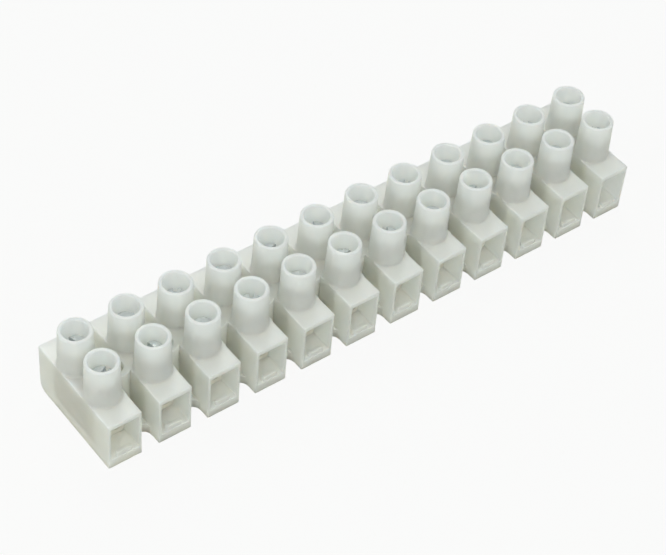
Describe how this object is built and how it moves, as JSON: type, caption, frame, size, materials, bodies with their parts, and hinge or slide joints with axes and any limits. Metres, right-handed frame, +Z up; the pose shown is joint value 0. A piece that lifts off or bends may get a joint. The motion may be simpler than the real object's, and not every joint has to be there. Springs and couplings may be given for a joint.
{
  "type": "terminal strip",
  "caption": "Translucent strip connector: brass inserts in a row of moulded poles clamp wires from both sides under slotted screws set deep in round towers.",
  "frame": {"origin": "centre of the underside, on the surface that the strip rests on", "axes": "+X along the row of poles, +Y towards the rear wire entries, +Z up, out of the screw towers"},
  "size_m": [0.1166, 0.022, 0.0188],
  "materials": {
    "housing": "natural translucent polyethylene, satin as moulded",
    "insert": "extruded brass with a thin tin plating",
    "screw": "zinc-plated steel"
  },
  "bodies": {
    "strip": {"housing": "housing", "insert_01": "insert", "insert_02": "insert", "insert_03": "insert", "insert_04": "insert", "insert_05": "insert", "insert_06": "insert", "insert_07": "insert", "insert_08": "insert", "insert_09": "insert", "insert_10": "insert", "insert_11": "insert", "insert_12": "insert"},
    "screw_front_01_body": {"screw_front_01": "screw"},
    "screw_front_02_body": {"screw_front_02": "screw"},
    "screw_front_03_body": {"screw_front_03": "screw"},
    "screw_front_04_body": {"screw_front_04": "screw"},
    "screw_front_05_body": {"screw_front_05": "screw"},
    "screw_front_06_body": {"screw_front_06": "screw"},
    "screw_front_07_body": {"screw_front_07": "screw"},
    "screw_front_08_body": {"screw_front_08": "screw"},
    "screw_front_09_body": {"screw_front_09": "screw"},
    "screw_front_10_body": {"screw_front_10": "screw"},
    "screw_front_11_body": {"screw_front_11": "screw"},
    "screw_front_12_body": {"screw_front_12": "screw"},
    "screw_rear_01_body": {"screw_rear_01": "screw"},
    "screw_rear_02_body": {"screw_rear_02": "screw"},
    "screw_rear_03_body": {"screw_rear_03": "screw"},
    "screw_rear_04_body": {"screw_rear_04": "screw"},
    "screw_rear_05_body": {"screw_rear_05": "screw"},
    "screw_rear_06_body": {"screw_rear_06": "screw"},
    "screw_rear_07_body": {"screw_rear_07": "screw"},
    "screw_rear_08_body": {"screw_rear_08": "screw"},
    "screw_rear_09_body": {"screw_rear_09": "screw"},
    "screw_rear_10_body": {"screw_rear_10": "screw"},
    "screw_rear_11_body": {"screw_rear_11": "screw"},
    "screw_rear_12_body": {"screw_rear_12": "screw"}
  },
  "joints": [
    {"name": "screw_front_01_travel", "type": "slide", "parent": "strip", "child": "screw_front_01_body", "axis": [0, 0, 1], "range_m": [-0.0034, 0.0008]},
    {"name": "screw_front_02_travel", "type": "slide", "parent": "strip", "child": "screw_front_02_body", "axis": [0, 0, 1], "range_m": [-0.0034, 0.0008]},
    {"name": "screw_front_03_travel", "type": "slide", "parent": "strip", "child": "screw_front_03_body", "axis": [0, 0, 1], "range_m": [-0.0034, 0.0008]},
    {"name": "screw_front_04_travel", "type": "slide", "parent": "strip", "child": "screw_front_04_body", "axis": [0, 0, 1], "range_m": [-0.0034, 0.0008]},
    {"name": "screw_front_05_travel", "type": "slide", "parent": "strip", "child": "screw_front_05_body", "axis": [0, 0, 1], "range_m": [-0.0034, 0.0008]},
    {"name": "screw_front_06_travel", "type": "slide", "parent": "strip", "child": "screw_front_06_body", "axis": [0, 0, 1], "range_m": [-0.0034, 0.0008]},
    {"name": "screw_front_07_travel", "type": "slide", "parent": "strip", "child": "screw_front_07_body", "axis": [0, 0, 1], "range_m": [-0.0034, 0.0008]},
    {"name": "screw_front_08_travel", "type": "slide", "parent": "strip", "child": "screw_front_08_body", "axis": [0, 0, 1], "range_m": [-0.0034, 0.0008]},
    {"name": "screw_front_09_travel", "type": "slide", "parent": "strip", "child": "screw_front_09_body", "axis": [0, 0, 1], "range_m": [-0.0034, 0.0008]},
    {"name": "screw_front_10_travel", "type": "slide", "parent": "strip", "child": "screw_front_10_body", "axis": [0, 0, 1], "range_m": [-0.0034, 0.0008]},
    {"name": "screw_front_11_travel", "type": "slide", "parent": "strip", "child": "screw_front_11_body", "axis": [0, 0, 1], "range_m": [-0.0034, 0.0008]},
    {"name": "screw_front_12_travel", "type": "slide", "parent": "strip", "child": "screw_front_12_body", "axis": [0, 0, 1], "range_m": [-0.0034, 0.0008]},
    {"name": "screw_rear_01_travel", "type": "slide", "parent": "strip", "child": "screw_rear_01_body", "axis": [0, 0, 1], "range_m": [-0.0034, 0.0008]},
    {"name": "screw_rear_02_travel", "type": "slide", "parent": "strip", "child": "screw_rear_02_body", "axis": [0, 0, 1], "range_m": [-0.0034, 0.0008]},
    {"name": "screw_rear_03_travel", "type": "slide", "parent": "strip", "child": "screw_rear_03_body", "axis": [0, 0, 1], "range_m": [-0.0034, 0.0008]},
    {"name": "screw_rear_04_travel", "type": "slide", "parent": "strip", "child": "screw_rear_04_body", "axis": [0, 0, 1], "range_m": [-0.0034, 0.0008]},
    {"name": "screw_rear_05_travel", "type": "slide", "parent": "strip", "child": "screw_rear_05_body", "axis": [0, 0, 1], "range_m": [-0.0034, 0.0008]},
    {"name": "screw_rear_06_travel", "type": "slide", "parent": "strip", "child": "screw_rear_06_body", "axis": [0, 0, 1], "range_m": [-0.0034, 0.0008]},
    {"name": "screw_rear_07_travel", "type": "slide", "parent": "strip", "child": "screw_rear_07_body", "axis": [0, 0, 1], "range_m": [-0.0034, 0.0008]},
    {"name": "screw_rear_08_travel", "type": "slide", "parent": "strip", "child": "screw_rear_08_body", "axis": [0, 0, 1], "range_m": [-0.0034, 0.0008]},
    {"name": "screw_rear_09_travel", "type": "slide", "parent": "strip", "child": "screw_rear_09_body", "axis": [0, 0, 1], "range_m": [-0.0034, 0.0008]},
    {"name": "screw_rear_10_travel", "type": "slide", "parent": "strip", "child": "screw_rear_10_body", "axis": [0, 0, 1], "range_m": [-0.0034, 0.0008]},
    {"name": "screw_rear_11_travel", "type": "slide", "parent": "strip", "child": "screw_rear_11_body", "axis": [0, 0, 1], "range_m": [-0.0034, 0.0008]},
    {"name": "screw_rear_12_travel", "type": "slide", "parent": "strip", "child": "screw_rear_12_body", "axis": [0, 0, 1], "range_m": [-0.0034, 0.0008]}
  ]
}
